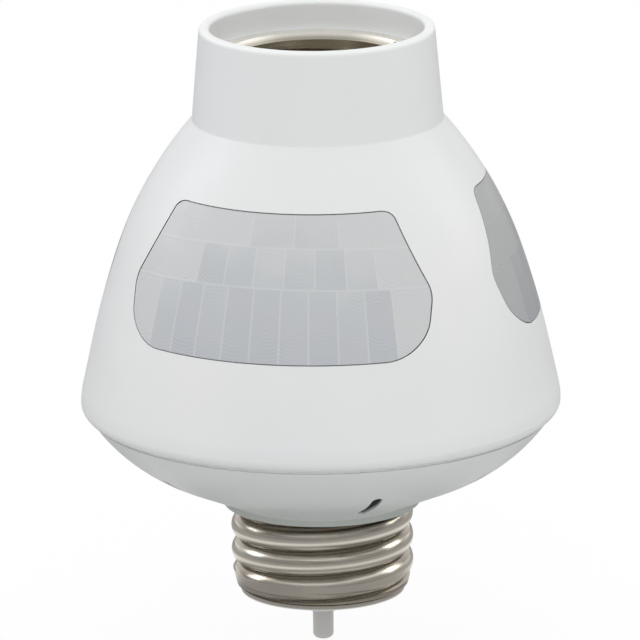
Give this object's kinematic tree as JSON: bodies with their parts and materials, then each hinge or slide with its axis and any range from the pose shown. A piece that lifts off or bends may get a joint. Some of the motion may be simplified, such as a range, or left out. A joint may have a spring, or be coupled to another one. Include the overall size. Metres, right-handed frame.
{
  "type": "motion sensor light control",
  "caption": "Screw-in motion sensor control: lamp socket in a bell housing with sensor windows all round, screw base and sprung centre contact below.",
  "frame": {"origin": "centre of the base shell's lower rim, on the axis of the screw base", "axes": "+Z along the axis towards the lamp socket, -Y through the middle of the front window, +X to the right of the front window"},
  "size_m": [0.0694, 0.0694, 0.0916],
  "materials": {
    "white_plastic": "satin moulded white",
    "cover_plastic": "satin moulded white",
    "socket_plastic": "satin moulded white",
    "insulator_plastic": "moulded pale grey",
    "lens_plastic": "pearly translucent, lenses moulded on the inside",
    "nickel_shell": "satin nickel plate on brass",
    "nickel_socket": "satin nickel plate on brass",
    "tinned_pin": "tinned",
    "spring_steel": "drawn wire",
    "screw_steel": "zinc plated",
    "spring_brass": "rolled strip",
    "rivet_brass": "headed",
    "circuit_board": "green solder mask",
    "sensor_can": "drawn nickel can",
    "photocell_glaze": "clear lacquer",
    "relay_case": "blue moulded case",
    "film_case": "yellow moulded case",
    "capacitor_sleeve": "shrunk sleeve",
    "chip_case": "moulded",
    "varistor_coat": "dipped coat",
    "fuse_coat": "cement coat",
    "resistor_coat": "painted",
    "dark_insulation": "extruded",
    "white_insulation": "extruded"
  },
  "bodies": {
    "housing": {"base_cover": "cover_plastic", "base_insulator": "insulator_plastic", "base_screw_shell": "nickel_shell", "board_screws": "screw_steel", "contact_spring": "spring_steel", "contact_terminal": "spring_brass", "control_chip": "chip_case", "film_capacitor": "film_case", "fuse_resistor": "fuse_coat", "lamp_live_lead": "dark_insulation", "lamp_neutral_lead": "white_insulation", "lens_front": "lens_plastic", "lens_rear_left": "lens_plastic", "lens_rear_right": "lens_plastic", "live_lead": "dark_insulation", "main_board": "circuit_board", "neutral_lead": "white_insulation", "photocell": "photocell_glaze", "pir_sensor_front": "sensor_can", "pir_sensor_rear_left": "sensor_can", "pir_sensor_rear_right": "sensor_can", "relay": "relay_case", "resistors": "resistor_coat", "sensor_board_front": "circuit_board", "sensor_board_rear_left": "circuit_board", "sensor_board_rear_right": "circuit_board", "smoothing_capacitors": "capacitor_sleeve", "socket_body": "socket_plastic", "socket_leaf": "spring_brass", "socket_rivets": "rivet_brass", "socket_screws": "screw_steel", "socket_shell": "nickel_socket", "upper_housing": "white_plastic", "varistor": "varistor_coat"},
    "contact_pin": {"contact_pin": "tinned_pin"}
  },
  "joints": [
    {"name": "contact_pin_slide", "type": "slide", "parent": "housing", "child": "contact_pin", "axis": [0, 0, 1], "range_m": [0, 0.0035], "stiffness_N_per_m": 500, "springref_m": -0.003, "deforming": ["contact_spring"]}
  ]
}
